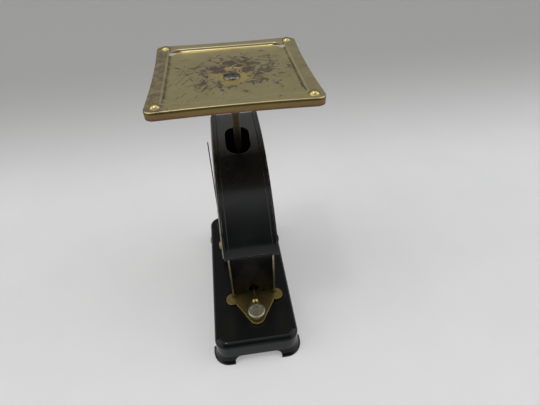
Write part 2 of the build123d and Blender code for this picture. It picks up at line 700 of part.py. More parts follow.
def make_spring():
    """Return spring: a coil with a straight wire and an eye at each end."""
    start = Vector(0, *SPRING_ANCHOR)
    end = Vector(0, *SPRING_PIN)
    span = (end - start).length
    coil_length = COIL_PITCH * COIL_TURNS
    low = (span - coil_length) / 2
    helix = Helix(COIL_PITCH, coil_length, COIL_RADIUS)
    section = Plane(origin=helix @ 0, z_dir=helix % 0) * Circle(WIRE)
    coil = Pos(0, 0, low) * sweep(section, path=helix, is_frenet=True)
    tails = []
    high = low + coil_length
    for foot, tip, first in ((low, EYE_RADIUS, helix @ 0), (high, span - EYE_RADIUS, helix @ 1)):
        step = COIL_RADIUS if tip > foot else -COIL_RADIUS
        route = FilletPolyline((first.X, first.Y, foot), (0, 0, foot + step), (0, 0, tip), radius=TAIL_BEND)
        wire = sweep(Plane(origin=route @ 0, z_dir=route % 0) * Circle(WIRE), path=route)
        tails.append(wire + Pos(first.X, first.Y, foot) * Sphere(WIRE * TAIL_JOINT))
    spring = coil + tails[0] + tails[1]
    frame = Plane(origin=start, x_dir=(1, 0, 0), z_dir=end - start)
    spring = frame.location * spring
    spring += Pos(0, *SPRING_ANCHOR) * Torus(EYE_RADIUS, WIRE)
    return spring + Pos(0, *SPRING_PIN) * Rot(0, 90, 0) * Torus(EYE_RADIUS, WIRE)


NODES = {
    "base_shell": make_base(),
    "frame_cheek_left": make_cheek(-1),
    "frame_cheek_right": make_cheek(1),
    "frame_front_web": make_web(),
    "frame_spacers": make_spacers(),
    "frame_foot_screws": make_foot_screws(),
    "frame_foot_nuts": make_foot_nuts(),
    "casing_band": make_band(),
    "casing_side_left": make_side_plate(-1),
    "casing_side_right": make_side_plate(1),
    "casing_screws_left": make_case_screws(-1),
    "casing_screws_right": make_case_screws(1),
    "dial_card": make_dial(),
    "pointer_stop_pins": make_stops(),
    "arbor_bush_left": make_bush(-1),
    "arbor_bush_right": make_bush(1),
    "link_pivot_pin": rod(LINK_PIVOT, LINK_PIN_RADIUS, -CHEEK_HALF, CHEEK_HALF),
    "link_collars": make_collars(LINK_PIVOT, LINK_PIN_RADIUS, LEVER_OUT + COLLAR_PLAY),
    "return_spring": make_spring(),
    "thumbscrew_nut": make_thumb_nut(),
    "main_lever": make_lever(),
    "lever_arbor": make_arbor(),
    "arbor_collars": make_collars(
        PIVOT, ARBOR_RADIUS, CHEEK_IN - BUSH_FLANGE_WALL - COLLAR_PLAY - COLLAR_WIDTH
    ),
    "spring_pin": rod(SPRING_PIN, SPRING_PIN_RADIUS, -LEVER_OUT, LEVER_OUT),
    "pointer": make_pointer(),
    "pointer_hub": make_pointer_hub(),
    "pointer_nut": make_pointer_nut(),
    "tray": make_tray(),
    "tray_boss": make_boss(),
    "tray_screw": make_tray_screw(),
    "stem": make_stem(),
    "stem_pin_lower": rod(STEM_PIN, STEM_PIN_RADIUS, -STEM_PIN_HALF, STEM_PIN_HALF),
    "stem_pin_upper": rod(LINK_PIN, STEM_PIN_RADIUS, -STEM_PIN_HALF, STEM_PIN_HALF),
    "guide_link": make_link(),
    "zero_plate": make_zero_plate(),
    "spring_anchor_stud": make_stud(),
    "stud_washer": make_washer(),
    "zero_thumbscrew": make_thumbscrew(),
}

os.makedirs("parts", exist_ok=True)
for name, piece in NODES.items():
    piece.label = name
    export_step(piece, os.path.join("parts", name + ".step"))
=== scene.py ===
import json
import math
from functools import partial

import bmesh
import bpy
from mathutils import Matrix, Vector


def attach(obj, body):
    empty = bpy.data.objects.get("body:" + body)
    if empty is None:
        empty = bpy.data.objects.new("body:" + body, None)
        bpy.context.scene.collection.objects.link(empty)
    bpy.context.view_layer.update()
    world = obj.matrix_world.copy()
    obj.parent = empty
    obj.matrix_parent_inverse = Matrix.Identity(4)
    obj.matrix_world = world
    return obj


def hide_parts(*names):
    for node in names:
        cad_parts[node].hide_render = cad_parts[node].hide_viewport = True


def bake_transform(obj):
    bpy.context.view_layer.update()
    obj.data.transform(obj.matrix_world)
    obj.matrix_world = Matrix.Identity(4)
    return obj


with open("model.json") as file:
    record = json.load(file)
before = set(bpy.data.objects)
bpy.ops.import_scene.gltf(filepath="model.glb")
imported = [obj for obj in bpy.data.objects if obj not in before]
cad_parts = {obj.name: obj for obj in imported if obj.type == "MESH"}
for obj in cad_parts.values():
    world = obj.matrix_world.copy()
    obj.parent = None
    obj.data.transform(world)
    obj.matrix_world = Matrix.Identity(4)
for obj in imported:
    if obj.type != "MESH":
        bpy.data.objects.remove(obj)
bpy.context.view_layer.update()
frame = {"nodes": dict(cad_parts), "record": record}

MM = 0.001

# Where the camera stands and what it cuts off close by, in millimetres, how it is turned, in degrees, and its
# focus in pixels of the picture.
CAMERA_PLACE = (-6.016, -212.074, 272.097)
CAMERA_YAW = 6.564
CAMERA_PITCH = 40.532
CAMERA_ROLL = 2.204
CAMERA_FOCUS = 388.08
CAMERA_CLIP = 5.0
PICTURE_WIDTH = 540
SENSOR = 36.0

# Places and sizes of the frame that the pieces here are fitted to, in millimetres and degrees.
PIVOT = (27.965, 47.5)
FAN_CENTRE, FAN_RADIUS = (34.337, 29.5), 102.0
NOSE_CENTRE, NOSE_RADIUS = (-29.573, 87.045), 16.0
REAR_CENTRE, REAR_RADIUS = (57.337, 119.5), 12.0
LIP_ANGLE, NOSE_ANGLE, TOP_ANGLE, REAR_TILT = 188.0, 138.0, 90.0, 14.0
FAN_FOOT = 27.5
DIAL_FACE = 18.2
SWEEP = 56.0
TRAY_CENTRE = (0.0, 21.337, 181.5)
TRAY_HALF_WIDTH, TRAY_HALF_DEPTH = 48.25, 50.0
TRAY_WAIST, TRAY_CORNER = 1.6, 5.5
TRAY_SKIRT, TRAY_SUNK = 4.8, 1.7
TRAY_BORDER = 9.5
BORDER_CUT, FLOOR_CUT = (8.0, 5.4), (8.0, 8.0)
DIMPLE_PLACE, DIMPLE_RADIUS, DIMPLE_DEPTH = (0.0, -7.5), 13.5, 0.5
PIP_INSET = 6.5
STEM_SHADE_HEIGHTS = (160.0, 139.0)
THUMB_PLACE = (0.0, -47.163, 27.1)
THUMB_RADIUS = 6.1
SPRING_COIL_END, SPRING_EYE = (0.0, 7.2, 34.6), (0.0, 20.0, 37.2)


def linear(hexa):
    """A colour written as sRGB hex, as the shader takes it."""
    parts = [int(hexa[i:i + 2], 16) / 255 for i in (1, 3, 5)]
    return tuple(p / 12.92 if p <= 0.04045 else ((p + 0.055) / 1.055) ** 2.4 for p in parts) + (1.0,)


def node(tree, kind, settings=None, links=None):
    """Adds one node. A setting is a property, a socket's value or a ramp's stops. A link comes from a socket,
    or from the first output in use of a node."""
    made = tree.nodes.new(kind)
    for key, value in (settings or {}).items():
        if key == "stops":
            for element, (place, colour) in zip(made.color_ramp.elements, value):
                element.position = place
                element.color = linear(colour)
        elif isinstance(key, str) and hasattr(made, key):
            setattr(made, key, value)
        else:
            made.inputs[key].default_value = value
    for key, source in (links or {}).items():
        if isinstance(source, bpy.types.Node):
            source = next(out for out in source.outputs if out.enabled)
        tree.links.new(source, made.inputs[key])
    return made


# Sockets of Map Range and of Mix, for colours and for plain numbers, go by number here, because their names
# come more than once.
LOW, HIGH, TO_LOW, TO_HIGH = 1, 2, 3, 4
UNDER, OVER = 6, 7
PLAIN_UNDER, PLAIN_OVER = 2, 3
# The usual noise, with a broken edge to its patches.
CLOUDY = {"Detail": 4.0, "Roughness": 0.6}
ENAMEL_IOR = 1.5
BEVEL_RAYS = 6


def new_material(name):
    """An empty material, what adds its nodes, and the place on the piece."""
    made = bpy.data.materials.new(name)
    made.use_nodes = True
    made.node_tree.nodes.clear()
    add = partial(node, made.node_tree)
    return made, add, add("ShaderNodeTexCoord").outputs["Object"]


def patches(size, **more):
    """Settings of a noise whose patches are about size millimetres wide."""
    return {**CLOUDY, "Scale": 1.0 / (size * MM), **more}


def mask(add, *rows, how="LINEAR"):
    """How much of a finish shows. A row is a value, where it starts and ends, and what it counts for at both;
    the rows are multiplied."""
    total = None
    for value, low, high, *counts in rows:
        to_low, to_high = counts or (0.0, 1.0)
        settings = {"interpolation_type": how, LOW: low, HIGH: high, TO_LOW: to_low, TO_HIGH: to_high}
        part = add("ShaderNodeMapRange", settings, {0: value})
        if total is not None:
            part = add("ShaderNodeMath", {"operation": "MULTIPLY"}, {0: total, 1: part})
        total = part
    return total


def laid_over(add, colour, *layers):
    """A colour with others laid over it in turn. A layer is how much of it shows, and its colour."""
    for amount, tint in layers:
        colour = add("ShaderNodeMix", {"data_type": "RGBA", OVER: linear(tint)}, {0: amount, UNDER: colour})
    return colour


def edge_turn(add, radius):
    """A slightly rounded normal, and how far it turns from the face: 1 on a flat face, less on an edge."""
    rounded = add("ShaderNodeBevel", {"samples": BEVEL_RAYS, "Radius": radius * MM})
    facing = add("ShaderNodeNewGeometry").outputs["Normal"]
    turned = add("ShaderNodeVectorMath", {"operation": "DOT_PRODUCT"}, {0: rounded, 1: facing})
    return rounded, turned.outputs["Value"]


def face_direction(add):
    """The three parts of the direction that a face looks in."""
    facing = add("ShaderNodeNewGeometry").outputs["Normal"]
    return add("ShaderNodeSeparateXYZ", links={0: facing}).outputs


# Stoved enamel: black paint baked on pressed steel. Deep gloss with a faint orange peel, hazed in clouds,
# rubbed through to a pale line along sharp edges that is also a painted edge highlight, and with a pale film
# where it lies flat that is partly dust and partly painted sheen standing for the bright room overhead.
def stoved_enamel(name, dark, pale, rough, rub_and_highlight, sheen, dust_and_painted_sheen):
    made, add, place = new_material(name)
    cloud = add("ShaderNodeTexNoise", patches(22.0), {"Vector": place})
    handled = add("ShaderNodeTexNoise", patches(6.0), {"Vector": place})
    flaws = add("ShaderNodeTexNoise", patches(3.5, Detail=8.0, Roughness=0.75), {"Vector": place})
    peel = add("ShaderNodeTexNoise", patches(1.6, Detail=2.0), {"Vector": place})
    rounded, turned = edge_turn(add, radius=0.4)
    # The pale edge line: partly paint rubbed through, partly painted highlight.
    worn_and_highlit_edges = mask(add, (turned, 0.96, 0.85, 0.0, rub_and_highlight), (handled, 0.35, 0.6))
    chips = mask(add, (flaws, 0.78, 0.8, 0.0, 0.15))
    # The pale film on flat tops: partly dust, partly painted sheen.
    settled_dust_and_painted_sheen = mask(add, (face_direction(add)[2], 0.962, 1.0, 0.0, dust_and_painted_sheen))
    paint = add("ShaderNodeValToRGB", {"stops": [(0.3, dark), (0.75, pale)]}, {0: cloud})
    paint = laid_over(add, paint, (worn_and_highlit_edges, "#9a958a"), (chips, "#57544c"), (settled_dust_and_painted_sheen, "#5a5b5a"))
    shader = add("ShaderNodeBsdfPrincipled", {"IOR": ENAMEL_IOR, "Specular IOR Level": sheen}, {
        "Base Color": paint,
        "Roughness": mask(add, (cloud, 0.35, 0.7, *rough)),
        "Normal": add("ShaderNodeBump", {"Distance": 0.012 * MM}, {"Height": peel, "Normal": rounded}),
    })
    add("ShaderNodeOutputMaterial", links={"Surface": shader})
    return made


# Enamelled sheet with sheared edges: the flat faces are black paint, the cut edges are bare pale metal.
def painted_sheet(name):
    made, add, place = new_material(name)
    tone = add("ShaderNodeTexNoise", patches(4.0), {"Vector": place})
    haze = add("ShaderNodeTexNoise", patches(9.0), {"Vector": place})
    peel = add("ShaderNodeTexNoise", patches(1.6, Detail=2.0), {"Vector": place})
    sideways = add("ShaderNodeMath", {"operation": "ABSOLUTE"}, {0: face_direction(add)[0]})
    flat = mask(add, (sideways, 0.4, 0.6))
    bare = add("ShaderNodeValToRGB", {"stops": [(0.35, "#bdb293"), (0.65, "#9a8f73")]}, {0: tone})
    shader = add("ShaderNodeBsdfPrincipled", {"IOR": ENAMEL_IOR}, {
        "Base Color": laid_over(add, bare, (flat, "#0b0c0b")),
        "Metallic": mask(add, (flat, 0.0, 1.0, 1.0, 0.0)),
        "Roughness": mask(add, (haze, 0.3, 0.7, 0.3, 0.45)),
        "Normal": add("ShaderNodeBump", {"Distance": 0.012 * MM}, {"Height": peel}),
    })
    add("ShaderNodeOutputMaterial", links={"Surface": shader})
    return made


# Stains are smaller than the clouds of tarnish, by this much, and have a soft edge.
STAIN_SHARE, STAIN_SOFT = 0.55, 0.1


# Worked brass: yellow metal gone dull, with brown tarnish in patches, a fine grain from the tool and edges
# rubbed bright. Painted shade darkens it from the first of the two heights given down to the second and
# below, where the stem runs down into the casing. The grain is drawn half a millimetre wide, coarser than it
# is, so that it shows.
def worked_brass(name, clean, dull, stain, patch, spread, rough, shade_heights=None):
    made, add, place = new_material(name)
    cloud = add("ShaderNodeTexNoise", patches(patch, Detail=6.0, Distortion=0.6), {"Vector": place})
    spots = add("ShaderNodeTexNoise", patches(patch * STAIN_SHARE, Detail=8.0, Roughness=0.7, Distortion=1.2),
                {"Vector": place})
    grain = add("ShaderNodeTexNoise", patches(0.5, Detail=3.0), {"Vector": place})
    rounded, turned = edge_turn(add, radius=0.3)
    colour = add("ShaderNodeValToRGB", {"stops": [(0.38, clean), (0.62, dull)]}, {0: cloud})
    stained = mask(add, (spots, spread, spread + STAIN_SOFT))
    rubbed = mask(add, (turned, 0.97, 0.86, 0.0, 0.5))
    colour = laid_over(add, colour, (stained, stain), (rubbed, clean))
    # Painted shade on the stem's lower part, where it runs down into the casing.
    if shade_heights:
        level = add("ShaderNodeSeparateXYZ", links={0: place}).outputs[2]
        painted_shade = mask(add, (level, shade_heights[0] * MM, shade_heights[1] * MM, 0.0, 0.92))
        colour = laid_over(add, colour, (painted_shade, "#15120d"))
    shader = add("ShaderNodeBsdfPrincipled", {"Metallic": 1.0}, {
        "Base Color": colour,
        "Roughness": mask(add, (cloud, 0.3, 0.7, *rough)),
        "Normal": add("ShaderNodeBump", {"Distance": 0.008 * MM}, {"Height": grain, "Normal": rounded}),
    })
    add("ShaderNodeOutputMaterial", links={"Surface": shader})
    return made


# Spots of the tray's plan, from its middle: the haze, the tarnish, and the cuts of a knife.
HAZE_SPOT, TARNISH_SPOT, CUTS_SPOT = (1.0, 3.0), (2.0, 1.0), (-20.0, -20.0)
CUTS_SLANT = -64.0
CUTS_STRETCH = (0.1, 1.0, 1.0)


# Pressed tray brass: olive yellow sheet, rubbed clean round the screw, with purple-brown tarnish spreading
# from the middle to the right, a browned border, a red-brown hem and fine cuts across the near left. The grain
# and the cuts are drawn coarser than they are, so that they show.
def tray_brass(name):
    made, add, place = new_material(name)
    back = tuple(-value * MM for value in TRAY_CENTRE)
    place = add("ShaderNodeMapping", {"Location": back}, {"Vector": place})
    x, y, z = add("ShaderNodeSeparateXYZ", links={0: place}).outputs
    plan = add("ShaderNodeCombineXYZ", links={0: x, 1: y})
    sideways, endways = (add("ShaderNodeMath", {"operation": "ABSOLUTE"}, {0: part}) for part in (x, y))
    from_haze, from_tarnish, from_cuts, from_screw = (
        add("ShaderNodeVectorMath", {"operation": "DISTANCE", 1: (spot[0] * MM, spot[1] * MM, 0.0)},
            {0: plan}).outputs["Value"]
        for spot in (HAZE_SPOT, TARNISH_SPOT, CUTS_SPOT, DIMPLE_PLACE))
    cloud = add("ShaderNodeTexNoise", patches(26.0, Detail=6.0), {"Vector": place})
    ragged = add("ShaderNodeTexNoise", patches(7.0, Detail=9.0, Roughness=0.68, Distortion=0.8),
                 {"Vector": place})

    # The floor: hazed, rubbed clean round the screw, tarnished about the middle.
    haze = mask(add, (from_haze, 36 * MM, 8 * MM, 0.0, 0.3))
    fringe = add("ShaderNodeMath", {"operation": "MULTIPLY", 1: 9 * MM}, {0: ragged})
    fringed = add("ShaderNodeMath", {"operation": "ADD"}, {0: from_screw, 1: fringe})
    clean = mask(add, (fringed, 19 * MM, 13 * MM, 0.0, 0.85))
    nearby = mask(add, (from_tarnish, 8 * MM, 42 * MM, 0.15, -0.07))
    spread = add("ShaderNodeMath", {"operation": "ADD"}, {0: ragged, 1: nearby})
    wiped = add("ShaderNodeMath", {"operation": "MULTIPLY", 1: 0.1}, {0: clean})
    spread = add("ShaderNodeMath", {"operation": "SUBTRACT"}, {0: spread, 1: wiped})
    tarnish = mask(add, (spread, 0.56, 0.62, 0.0, 0.9))

    # The border, the skirt outside it darkened with painted shade, a darker line under its bend, and the hem.
    left = mask(add, (x, -36 * MM, -40 * MM, 0.0, 0.8))
    sides = mask(add, (sideways, 38 * MM, 41 * MM, 0.0, 0.28))
    bordered = add("ShaderNodeMath", {"operation": "MAXIMUM"}, {0: left, 1: sides})
    blotched = mask(add, (ragged, 0.38, 0.56))
    brown = add("ShaderNodeMath", {"operation": "MULTIPLY"}, {0: bordered, 1: blotched})
    furthest = add("ShaderNodeMath", {"operation": "MAXIMUM"}, {0: sideways, 1: endways})
    outside = (furthest, 44 * MM, 45 * MM)
    # Painted shade on the skirt's outer side.
    skirt = mask(add, outside, (z, -0.15 * MM, -0.6 * MM, 0.0, 0.9))
    dark_line_under_bend = mask(add, (z, -0.35 * MM, -0.75 * MM), (z, -1.7 * MM, -1.0 * MM, 0.0, 0.8), outside)
    hem = mask(add, (z, -3.2 * MM, -4.3 * MM, 0.0, 0.8), (ragged, 0.36, 0.5), outside)

    # Fine slanted cuts.
    slanted = add("ShaderNodeMapping", {"Rotation": (0.0, 0.0, math.radians(CUTS_SLANT))}, {"Vector": place})
    slanted = add("ShaderNodeMapping", {"Scale": CUTS_STRETCH}, {"Vector": slanted})
    strokes = add("ShaderNodeTexNoise", patches(1.2, Detail=1.0, Distortion=0.2), {"Vector": slanted})
    cuts = mask(add, (strokes, 0.63, 0.68), (from_cuts, 28 * MM, 12 * MM, 0.0, 0.85))

    # A painted highlight along the well's lip, and painted shade at the foot of its sides.
    aside = add("ShaderNodeMath", {"operation": "SUBTRACT", 1: (TRAY_HALF_WIDTH - TRAY_BORDER) * MM},
                {0: sideways})
    along = add("ShaderNodeMath", {"operation": "SUBTRACT", 1: (TRAY_HALF_DEPTH - TRAY_BORDER) * MM},
                {0: endways})
    beyond = add("ShaderNodeMath", {"operation": "MAXIMUM"}, {0: aside, 1: along})
    lip = mask(add, (beyond, 0.2 * MM, 0.5 * MM), (beyond, 1.4 * MM, 1.0 * MM, 0.0, 0.6))
    foot = mask(add, (aside, -1.2 * MM, -0.7 * MM), (aside, 0.35 * MM, 0.0),
                (ragged, 0.35, 0.55, 0.15, 0.75), (along, -1.0 * MM, -2.0 * MM))

    # The pips, brighter than the sheet, with painted shade in a dark ring round the root.
    root_ring_shade = mask(add, (z, 0.02 * MM, 0.1 * MM), (z, 0.5 * MM, 0.25 * MM, 0.0, 0.7))
    raised = mask(add, (z, 0.3 * MM, 0.8 * MM))

    colour = add("ShaderNodeValToRGB", {"stops": [(0.32, "#d0c391"), (0.66, "#b8ab7b")]}, {0: cloud})
    colour = laid_over(add, colour, (haze, "#9d8a78"), (clean, "#d6c379"), (tarnish, "#665750"),
                       (brown, "#8b7566"), (skirt, "#6f5c37"), (dark_line_under_bend, "#3d3222"), (hem, "#6b4438"),
                       (cuts, "#57503c"), (lip, "#d9cfab"), (foot, "#50473a"), (root_ring_shade, "#5e5138"),
                       (raised, "#ab9a62"))
    film = mask(add, (cloud, 0.3, 0.7, 0.3, 0.42))
    duller = add("ShaderNodeMath", {"operation": "MULTIPLY", 1: 0.14}, {0: tarnish})
    film = add("ShaderNodeMath", {"operation": "ADD"}, {0: film, 1: duller})
    brighter = add("ShaderNodeMath", {"operation": "MULTIPLY", 1: 0.12}, {0: raised})
    film = add("ShaderNodeMath", {"operation": "SUBTRACT"}, {0: film, 1: brighter})
    grain = add("ShaderNodeTexNoise", patches(0.6, Detail=3.0), {"Vector": place})
    dents = add("ShaderNodeTexNoise", patches(16.0, Detail=2.0), {"Vector": place})
    normal = add("ShaderNodeBump", {"Distance": 0.008 * MM}, {"Height": grain})
    normal = add("ShaderNodeBump", {"Distance": 0.16 * MM}, {"Height": dents, "Normal": normal})
    normal = add("ShaderNodeBump", {"Distance": 0.02 * MM}, {"Height": cuts, "Normal": normal})
    shader = add("ShaderNodeBsdfPrincipled", {"Metallic": 1.0},
                 {"Base Color": colour, "Roughness": film, "Normal": normal})
    add("ShaderNodeOutputMaterial", links={"Surface": shader})
    return made


# Turned mild steel, dulled: grey metal with a fine grain, darker clouds of old oil and edges rubbed bright. The
# grain is drawn a third of a millimetre wide, coarser than it is, so that it shows.
def turned_steel(name, pale, dark, rough):
    made, add, place = new_material(name)
    cloud = add("ShaderNodeTexNoise", patches(2.5, Detail=6.0), {"Vector": place})
    grain = add("ShaderNodeTexNoise", patches(0.35, Detail=2.0), {"Vector": place})
    rounded, turned = edge_turn(add, radius=0.25)
    rubbed = mask(add, (turned, 0.97, 0.86, 0.0, 0.6))
    tone = add("ShaderNodeValToRGB", {"stops": [(0.35, dark), (0.65, pale)]}, {0: cloud})
    shader = add("ShaderNodeBsdfPrincipled", {"Metallic": 1.0}, {
        "Base Color": laid_over(add, tone, (rubbed, pale)),
        "Roughness": mask(add, (cloud, 0.3, 0.7, *rough)),
        "Normal": add("ShaderNodeBump", {"Distance": 0.01 * MM}, {"Height": grain, "Normal": rounded}),
    })
    add("ShaderNodeOutputMaterial", links={"Surface": shader})
    return made


# Printed tin: ink rolled on sheet metal, half matt, yellowed in clouds and freckled with fine rust, with bare
# cut edges.
def printed_tin(name, pale, aged, speck):
    made, add, place = new_material(name)
    cloud = add("ShaderNodeTexNoise", patches(18.0, Detail=6.0), {"Vector": place})
    rust = add("ShaderNodeTexNoise", patches(1.8, Detail=6.0, Roughness=0.7), {"Vector": place})
    waves = add("ShaderNodeTexNoise", patches(2.2), {"Vector": place})
    freckle = mask(add, (rust, 0.69, 0.74, 0.0, 0.5))
    sideways = add("ShaderNodeMath", {"operation": "ABSOLUTE"}, {0: face_direction(add)[0]})
    cut_edge = mask(add, (sideways, 0.7, 0.3, 0.0, 0.9))
    tone = add("ShaderNodeValToRGB", {"stops": [(0.3, pale), (0.7, aged)]}, {0: cloud})
    shader = add("ShaderNodeBsdfPrincipled", {"IOR": ENAMEL_IOR}, {
        "Base Color": laid_over(add, tone, (freckle, speck), (cut_edge, "#8f8c82")),
        "Roughness": mask(add, (cloud, 0.3, 0.7, 0.38, 0.55)),
        "Normal": add("ShaderNodeBump", {"Distance": 0.01 * MM}, {"Height": waves}),
    })
    add("ShaderNodeOutputMaterial", links={"Surface": shader})
    return made


black_gloss = stoved_enamel("stoved_enamel_gloss", dark="#0a0c0b", pale="#0e100f", rough=(0.09, 0.16), rub_and_highlight=0.6,
                            sheen=0.17, dust_and_painted_sheen=0.03)
black_satin = stoved_enamel("stoved_enamel_casing", dark="#0b0c0c", pale="#101111", rough=(0.2, 0.3), rub_and_highlight=0.9,
                            sheen=0.27, dust_and_painted_sheen=0.6)
black_lapped = stoved_enamel("stoved_enamel_flange", dark="#0b0c0c", pale="#101111", rough=(0.2, 0.3), rub_and_highlight=0.5,
                             sheen=0.27, dust_and_painted_sheen=0.5)
sheet_black = painted_sheet("painted_steel_sheet")
brass_tray = tray_brass("pressed_tray_brass")
brass_stem = worked_brass("drawn_brass_stem", clean="#544833", dull="#423827", stain="#30271f", patch=6.0,
                          spread=0.55, rough=(0.35, 0.5), shade_heights=STEM_SHADE_HEIGHTS)
brass_sheet = worked_brass("sheet_brass_plate", clean="#ad985c", dull="#8e7c4a", stain="#57472c", patch=8.0,
                           spread=0.6, rough=(0.28, 0.4))
steel_dull = turned_steel("turned_steel_dull", pale="#aaa590", dark="#8d8875", rough=(0.38, 0.52))
steel_oiled = turned_steel("turned_steel_oiled", pale="#3a3833", dark="#201f1c", rough=(0.35, 0.5))
steel_worn = turned_steel("turned_steel_pitted", pale="#8f8a80", dark="#3b3935", rough=(0.35, 0.5))
steel_blue = turned_steel("blued_steel_strip", pale="#232b38", dark="#141a24", rough=(0.25, 0.4))
tin_cream = printed_tin("printed_tin_cream", pale="#dcd7c6", aged="#cdc5ab", speck="#8a7a5c")
tin_ink = printed_tin("printed_ink_black", pale="#1c1b19", aged="#292723", speck="#5e5648")

# The front web between the cheeks takes black enamel: a dark sheet that also stands in for the shade inside the
# frame.
FINISH = {
    "base_shell": black_gloss, "casing_band": black_satin, "casing_side_left": black_satin,
    "casing_side_right": black_satin, "frame_front_web": black_satin, "frame_cheek_left": sheet_black,
    "frame_cheek_right": sheet_black, "tray": brass_tray, "stem": brass_stem, "tray_boss": brass_stem,
    "dial_card": tin_cream, "pointer": steel_blue, "pointer_hub": steel_blue, "pointer_nut": steel_blue,
    "lever_arbor": steel_oiled, "return_spring": steel_oiled, "pointer_stop_pins": steel_oiled,
    "tray_screw": steel_worn, "casing_screws_right": black_satin,
}
SLOT_FINISH = {"frame_brass": brass_sheet, "dull_steel": steel_dull}
for part in frame["record"]["subparts"]:
    finish = FINISH.get(part["node"]) or SLOT_FINISH[part["material_slot"]]
    mesh = frame["nodes"][part["node"]].data
    mesh.materials.clear()
    mesh.materials.append(finish)


CREASE, TRAY_CREASE = 40.0, 50.0
DOUBLES = 0.0005


def place_piece(name, mesh, body, finish, crease=CREASE, stretch=None):
    """Puts a finished mesh on its body, smooth except across sharp edges. A piece given a stretch is put on no
    body but has its place baked into its mesh; the places of the stretch are not used."""
    mesh.name = name
    mesh.materials.clear()
    mesh.materials.append(finish)
    for face in mesh.polygons:
        face.use_smooth = True
    mesh.set_sharp_from_angle(angle=math.radians(crease))
    piece = bpy.data.objects.new(name, mesh)
    bpy.context.scene.collection.objects.link(piece)
    if stretch:
        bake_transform(piece)
    else:
        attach(piece, body)
    return piece


def mesh_from(points, faces):
    """A mesh from places in millimetres, doubles merged and faces turned outwards."""
    mesh = bpy.data.meshes.new("made")
    mesh.from_pydata([[value * MM for value in point] for point in points], [], faces)
    work = bmesh.new()
    work.from_mesh(mesh)
    bmesh.ops.remove_doubles(work, verts=work.verts, dist=DOUBLES * MM)
    bmesh.ops.recalc_face_normals(work, faces=work.faces)
    work.to_mesh(mesh)
    work.free()
    return mesh


def plain_mesh(holder):
    """The finished shape of an object as a plain mesh; the object goes."""
    bpy.context.scene.collection.objects.link(holder)
    ready = holder.evaluated_get(bpy.context.evaluated_depsgraph_get())
    mesh = bpy.data.meshes.new_from_object(ready)
    holder.modifiers.clear()
    bpy.data.objects.remove(holder)
    return mesh


# The pressed tray, ring by ring from the skirt's hem to the screw hole. The well's corners are cut through,
# so that daylight shows between the border and the sunk floor there.
SIDE_STEPS = 22
CORNER_STEPS = 8
ROUND_WEIGHT = math.sqrt(0.5)
SHEET = 0.55
SCREW_HOLE = 2.2
PIT = -TRAY_SUNK - DIMPLE_DEPTH
# How far in from the edge a ring of the skirt lies, and its height.
SKIRT_RINGS = ((0.0, -TRAY_SKIRT), (0.0, -2.6), (0.0, -0.7), (0.06, -0.38), (0.24, -0.12), (0.45, -0.02),
               (0.7, 0.0))
# How far out from the well's plan a ring lies, how far its corners have come from the border's cuts to the
# floor's, and its height.
LIP_RINGS = ((0.9, 0.0, 0.0), (0.7, 0.0, -0.05), (0.5, 0.0, -0.18))
WALL_RINGS = ((0.35, 0.33, -0.5), (0.15, 0.66, -0.9), (0.0, 1.0, -1.15))
FLOOR_RINGS = ((-0.3, 1.0, -1.45), (-0.7, 1.0, -1.63), (-1.3, 1.0, -TRAY_SUNK))
# The radius of a ring round the screw, and its height.
DIMPLE_RINGS = ((DIMPLE_RADIUS + 0.6, -TRAY_SUNK), (DIMPLE_RADIUS, -TRAY_SUNK - 0.1),
                (DIMPLE_RADIUS - 0.7, PIT + 0.05), (DIMPLE_RADIUS - 1.5, PIT), (SCREW_HOLE, PIT))
# Where the rings between the rim and the lip, and between the floor's edge and the dimple, lie.
BORDER_SHARES, FLOOR_SHARES = (0.33, 0.66), (0.2, 0.4, 0.6, 0.8)


def tray_outline():
    """Plan of the tray's edge: hollow sides and round corners, in order round the tray."""
    sides = []
    for turn in range(4):
        along, out = TRAY_HALF_WIDTH, TRAY_HALF_DEPTH
        if turn % 2:
            along, out = out, along
        quarter = Matrix.Rotation(math.radians(90 * turn), 2)
        row = []
        for i in range(SIDE_STEPS + 1):
            u = (along - TRAY_CORNER) * (2 * i / SIDE_STEPS - 1)
            row.append(quarter @ Vector((u, -out + TRAY_WAIST * (1 - (u / along) ** 2))))
        sides.append(row)
    outline = []
    for turn, row in enumerate(sides):
        outline.extend(row)
        start, end = row[-1], sides[(turn + 1) % 4][0]
        corner = Vector((end.x, start.y)) if turn % 2 == 0 else Vector((start.x, end.y))
        for i in range(1, CORNER_STEPS):
            t = i / CORNER_STEPS
            first, middle, last = (1 - t) ** 2, 2 * t * (1 - t) * ROUND_WEIGHT, t * t
            outline.append((start * first + corner * middle + end * last) / (first + middle + last))
    return outline


def well_outline(grow, share):
    """Plan of the sunk well, in the same order as the tray's edge: straight sides, and corners cut off as far
    as on the border (share 0), on the floor (share 1) or between them. A pair of cuts is front and rear."""
    wide, deep = TRAY_HALF_WIDTH - TRAY_BORDER + grow, TRAY_HALF_DEPTH - TRAY_BORDER + grow
    near, far = (outer + (inner - outer) * share for outer, inner in zip(BORDER_CUT, FLOOR_CUT))
    stops = [(-wide + near, -deep), (wide - near, -deep), (wide, -deep + near), (wide, deep - far),
             (wide - far, deep), (-wide + far, deep), (-wide, deep - far), (-wide, -deep + near)]
    outline = []
    for i in range(8):
        start, end = Vector(stops[i]), Vector(stops[(i + 1) % 8])
        if i % 2 == 0:
            outline.extend(start.lerp(end, k / SIDE_STEPS) for k in range(SIDE_STEPS + 1))
        else:
            outline.extend(start.lerp(end, k / CORNER_STEPS) for k in range(1, CORNER_STEPS))
    return outline


def shrunk(outline, inset):
    wide, deep = 1 - inset / TRAY_HALF_WIDTH, 1 - inset / TRAY_HALF_DEPTH
    return [Vector((point.x * wide, point.y * deep)) for point in outline]


def round_screw(outline, radius):
    """A circle round the screw, with its points towards those of the outline."""
    centre = Vector(DIMPLE_PLACE)
    return [centre + (point - centre).normalized() * radius for point in outline]


def between(first, second, share):
    return [a.lerp(b, share) for a, b in zip(first, second)]


